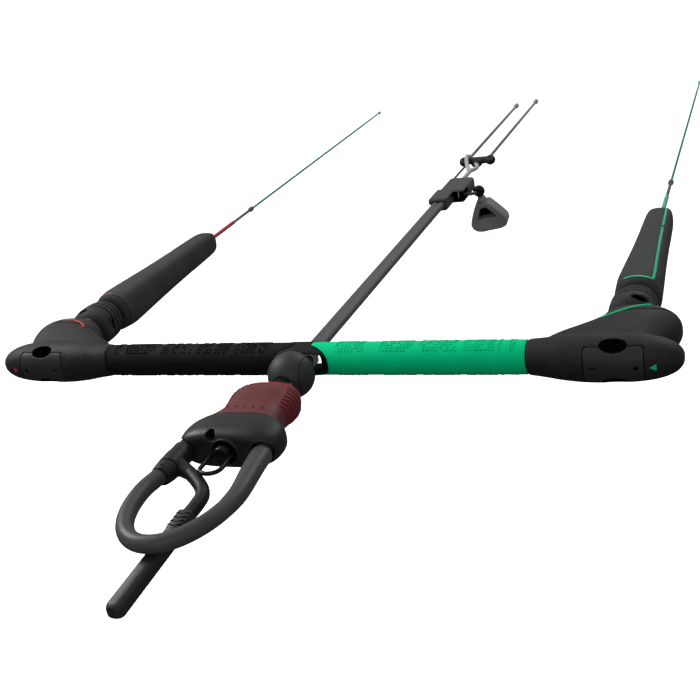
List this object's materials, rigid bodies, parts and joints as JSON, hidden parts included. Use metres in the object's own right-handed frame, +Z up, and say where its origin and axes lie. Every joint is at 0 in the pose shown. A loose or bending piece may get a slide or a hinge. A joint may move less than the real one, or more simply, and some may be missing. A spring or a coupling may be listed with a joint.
{
  "type": "kitesurf control bar",
  "caption": "Kitesurf control bar with rubber grips, foam floats, a depower tube with trim cleat and pull toggle, and a quick release with chicken loop.",
  "frame": {"origin": "inner face of the chicken loop's front, where the rider's harness hook bears", "axes": "+Y along the lines, away from the rider; +X along the bar to the rider's right; +Z up, square to the plane of the bar and its lines"},
  "size_m": [0.5912, 1.2789, 0.0754],
  "materials": {
    "grip_left": "matt black moulded rubber",
    "grip_right": "matt green moulded rubber",
    "soft_black": "soft-touch charcoal",
    "insert": "matt dark grey",
    "carbon": "satin carbon",
    "float": "closed-cell foam, matt dark grey",
    "red": "satin red",
    "green": "satin green",
    "release_red": "satin dark red",
    "housing": "satin dark grey",
    "loop": "smooth dark grey",
    "steel": "satin stainless",
    "black_steel": "satin black",
    "depower": "satin grey",
    "cleat": "satin mid grey",
    "rope": "woven light grey",
    "line_grey": "woven grey",
    "line_green": "woven green",
    "leader_red": "woven red",
    "leader_green": "woven pale green"
  },
  "bodies": {
    "centre_line": {"depower_tube": "depower", "swivel_spindle": "steel", "neck_bearing": "soft_black", "release_core": "black_steel", "qr_housing": "housing", "trim_cleat": "cleat", "cleat_roller": "steel", "sleeve_spring_left": "steel", "sleeve_spring_right": "steel"},
    "swivel_ball": {"swivel_ball": "housing"},
    "release_sleeve": {"release_sleeve": "release_red", "release_pin": "steel"},
    "chicken_loop": {"chicken_loop": "loop", "loop_collar": "loop", "loop_tongue": "steel", "loop_cap": "loop"},
    "locking_tube": {"locking_arm": "loop", "keeper_rod": "loop"},
    "safety_swivel": {"safety_swivel": "black_steel"},
    "safety_ring": {"safety_ring": "black_steel"},
    "hub_liner": {"hub_liner": "rope"},
    "bar": {"centre_hub": "soft_black", "core_tube_left": "carbon", "grip_left": "grip_left", "bar_end_left": "soft_black", "end_collar_left": "soft_black", "pointer_left": "red", "knuckle_pin_left": "steel", "core_tube_right": "carbon", "grip_right": "grip_right", "bar_end_right": "soft_black", "end_collar_right": "soft_black", "pointer_right": "green", "knuckle_pin_right": "steel"},
    "trim_lines": {"trim_rope": "rope", "line_splitter": "soft_black", "front_line_left": "line_grey", "front_line_right": "line_grey", "safety_line": "line_grey"},
    "trim_tail": {"toggle_line": "line_grey"},
    "trim_toggle": {"toggle_ball": "soft_black", "toggle_collar": "rope", "toggle_handle": "cleat"},
    "size_insert_left": {"size_insert_left": "insert"},
    "knuckle_left": {"float_knuckle_left": "float"},
    "float_left": {"float_neck_left": "soft_black", "float_left": "float", "float_cap_left": "float"},
    "line_left": {"leader_sleeve_left": "leader_red", "leader_left": "line_grey", "flying_line_left": "line_green"},
    "size_insert_right": {"size_insert_right": "insert"},
    "knuckle_right": {"float_knuckle_right": "float"},
    "float_right": {"float_neck_right": "soft_black", "float_right": "float", "float_cap_right": "float"},
    "line_right": {"leader_sleeve_right": "leader_green", "leader_right": "line_grey", "flying_line_right": "line_green"}
  },
  "joints": [
    {"name": "ball_swivel", "type": "hinge", "parent": "centre_line", "child": "swivel_ball", "pos_m": [0, 0.2294, 0], "axis": [0, 1, 0], "continuous": true},
    {"name": "sleeve_release", "type": "slide", "parent": "centre_line", "child": "release_sleeve", "axis": [0, 1, 0], "range_m": [0, 0.014], "stiffness_N_per_m": 300, "springref_m": -0.006, "deforming": ["sleeve_spring_left", "sleeve_spring_right"]},
    {"name": "loop_open", "type": "hinge", "parent": "centre_line", "child": "chicken_loop", "pos_m": [0.0283, 0.1089, 0], "axis": [0, 0, 1], "range_deg": [0, 40]},
    {"name": "locking_swing", "type": "hinge", "parent": "chicken_loop", "child": "locking_tube", "pos_m": [-0.0315, 0.0884, 0], "axis": [0, 1, 0], "range_deg": [0, 120]},
    {"name": "safety_spin", "type": "hinge", "parent": "centre_line", "child": "safety_swivel", "pos_m": [0, 0.1104, 0], "axis": [0, 1, 0], "continuous": true},
    {"name": "ring_tilt", "type": "hinge", "parent": "safety_swivel", "child": "safety_ring", "pos_m": [0, 0.1049, 0], "axis": [1, 0, 0], "range_deg": [-45, 0]},
    {"name": "bar_slide", "type": "slide", "parent": "centre_line", "child": "hub_liner", "axis": [0, 1, 0], "range_m": [0, 0.35]},
    {"name": "bar_steer", "type": "hinge", "parent": "hub_liner", "child": "bar", "pos_m": [0, 0.2604, 0], "axis": [0, 0, 1], "range_deg": [-20, 20]},
    {"name": "insert_pull_left", "type": "slide", "parent": "bar", "child": "size_insert_left", "axis": [0, -1, 0], "range_m": [0, 0.02]},
    {"name": "knuckle_yaw_left", "type": "hinge", "parent": "bar", "child": "knuckle_left", "pos_m": [-0.251, 0.3124, 0], "axis": [0, 0, 1], "range_deg": [-20, 20]},
    {"name": "float_pitch_left", "type": "hinge", "parent": "knuckle_left", "child": "float_left", "pos_m": [-0.251, 0.3644, 0], "axis": [1, 0, 0], "range_deg": [-20, 20]},
    {"name": "line_pitch_left", "type": "hinge", "parent": "float_left", "child": "line_left", "pos_m": [-0.251, 0.5854, 0], "axis": [1, 0, 0], "range_deg": [-20, 20]},
    {"name": "insert_pull_right", "type": "slide", "parent": "bar", "child": "size_insert_right", "axis": [0, -1, 0], "range_m": [0, 0.02]},
    {"name": "knuckle_yaw_right", "type": "hinge", "parent": "bar", "child": "knuckle_right", "pos_m": [0.251, 0.3124, 0], "axis": [0, 0, 1], "range_deg": [-20, 20]},
    {"name": "float_pitch_right", "type": "hinge", "parent": "knuckle_right", "child": "float_right", "pos_m": [0.251, 0.3644, 0], "axis": [1, 0, 0], "range_deg": [-20, 20]},
    {"name": "line_pitch_right", "type": "hinge", "parent": "float_right", "child": "line_right", "pos_m": [0.251, 0.5854, 0], "axis": [1, 0, 0], "range_deg": [-20, 20]},
    {"name": "trim_travel", "type": "slide", "parent": "centre_line", "child": "trim_lines", "axis": [0, -1, 0], "range_m": [0, 0.04]},
    {"name": "tail_travel", "type": "slide", "parent": "centre_line", "child": "trim_tail", "axis": [0, -1, 0], "range_m": [0, 0.04]},
    {"name": "toggle_swing", "type": "hinge", "parent": "trim_tail", "child": "trim_toggle", "pos_m": [0.0315, 0.7354, -0.0045], "axis": [1, 0, 0], "range_deg": [-70, 40]}
  ],
  "couplings": [
    {"joint": "tail_travel", "follows": "trim_travel", "ratio": 1},
    {"joint": "knuckle_yaw_left", "follows": "bar_steer", "ratio": -1},
    {"joint": "line_pitch_left", "follows": "float_pitch_left", "ratio": -1},
    {"joint": "knuckle_yaw_right", "follows": "bar_steer", "ratio": -1},
    {"joint": "line_pitch_right", "follows": "float_pitch_right", "ratio": -1}
  ]
}
